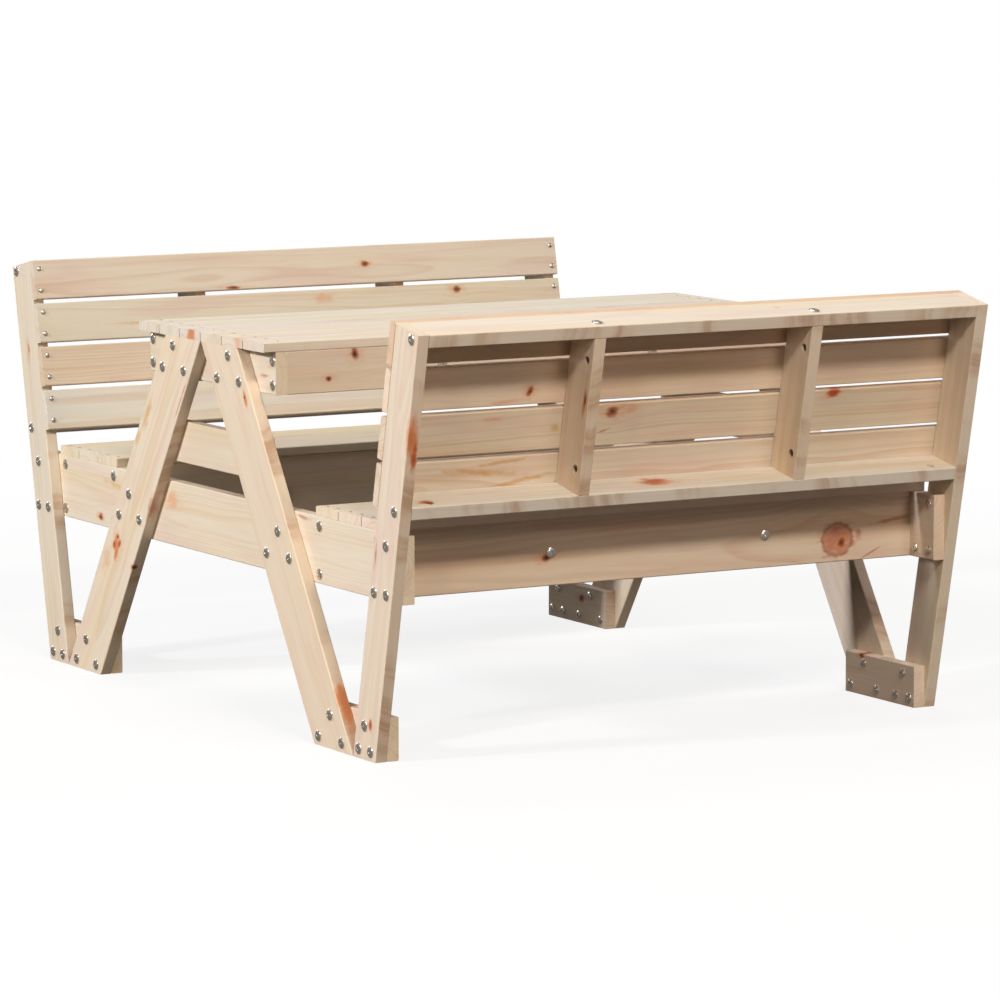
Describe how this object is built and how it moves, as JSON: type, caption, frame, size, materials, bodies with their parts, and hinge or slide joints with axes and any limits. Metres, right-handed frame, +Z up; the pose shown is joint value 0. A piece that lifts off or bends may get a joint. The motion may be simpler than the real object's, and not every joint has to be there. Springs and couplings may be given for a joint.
{
  "type": "kids picnic table",
  "caption": "Child-size slatted wooden picnic table on A-frame legs, with a bench seat on each long side and a leaning slatted back on outer posts, bolted throughout.",
  "frame": {"origin": "bottom centre of the whole table, on the ground", "axes": "+X along the slats, from the left end frame to the right one; +Y from the front bench to the rear bench; +Z up"},
  "size_m": [1.0058, 1.3832, 0.6579],
  "materials": {
    "wood": "bare planed softwood",
    "bolt": "bright zinc plate",
    "screw": "dull zinc plate"
  },
  "bodies": {
    "root": {"tabletop_slat_1": "wood", "tabletop_slat_2": "wood", "tabletop_slat_3": "wood", "tabletop_slat_4": "wood", "tabletop_slat_5": "wood", "tabletop_slat_6": "wood", "seat_slat_front_1": "wood", "seat_slat_front_2": "wood", "seat_slat_front_3": "wood", "seat_slat_rear_1": "wood", "seat_slat_rear_2": "wood", "seat_slat_rear_3": "wood", "back_slat_front_1": "wood", "back_slat_front_2": "wood", "back_slat_front_3": "wood", "back_slat_front_4": "wood", "back_slat_rear_1": "wood", "back_slat_rear_2": "wood", "back_slat_rear_3": "wood", "back_slat_rear_4": "wood", "table_leg_front_left": "wood", "table_leg_front_right": "wood", "table_leg_rear_left": "wood", "table_leg_rear_right": "wood", "back_post_front_left": "wood", "back_post_front_right": "wood", "back_post_rear_left": "wood", "back_post_rear_right": "wood", "foot_plate_front_left": "wood", "foot_plate_front_right": "wood", "foot_plate_rear_left": "wood", "foot_plate_rear_right": "wood", "back_strut_front_left": "wood", "back_strut_front_right": "wood", "back_strut_rear_left": "wood", "back_strut_rear_right": "wood", "seat_bearer_left": "wood", "seat_bearer_right": "wood", "table_bearer_left": "wood", "table_bearer_right": "wood", "tie_board_left": "wood", "tie_board_right": "wood", "apron_front": "wood", "apron_rear": "wood", "inner_rail_front": "wood", "inner_rail_rear": "wood", "outer_rail_front": "wood", "outer_rail_rear": "wood", "back_top_board_front": "wood", "back_top_board_rear": "wood", "back_bottom_board_front": "wood", "back_bottom_board_rear": "wood", "seat_supports_front": "wood", "seat_supports_rear": "wood", "table_supports": "wood", "through_bolts": "bolt", "cap_nuts": "bolt", "barrel_bolts": "bolt", "barrel_nuts": "bolt", "wood_screws": "screw"}
  },
  "joints": []
}
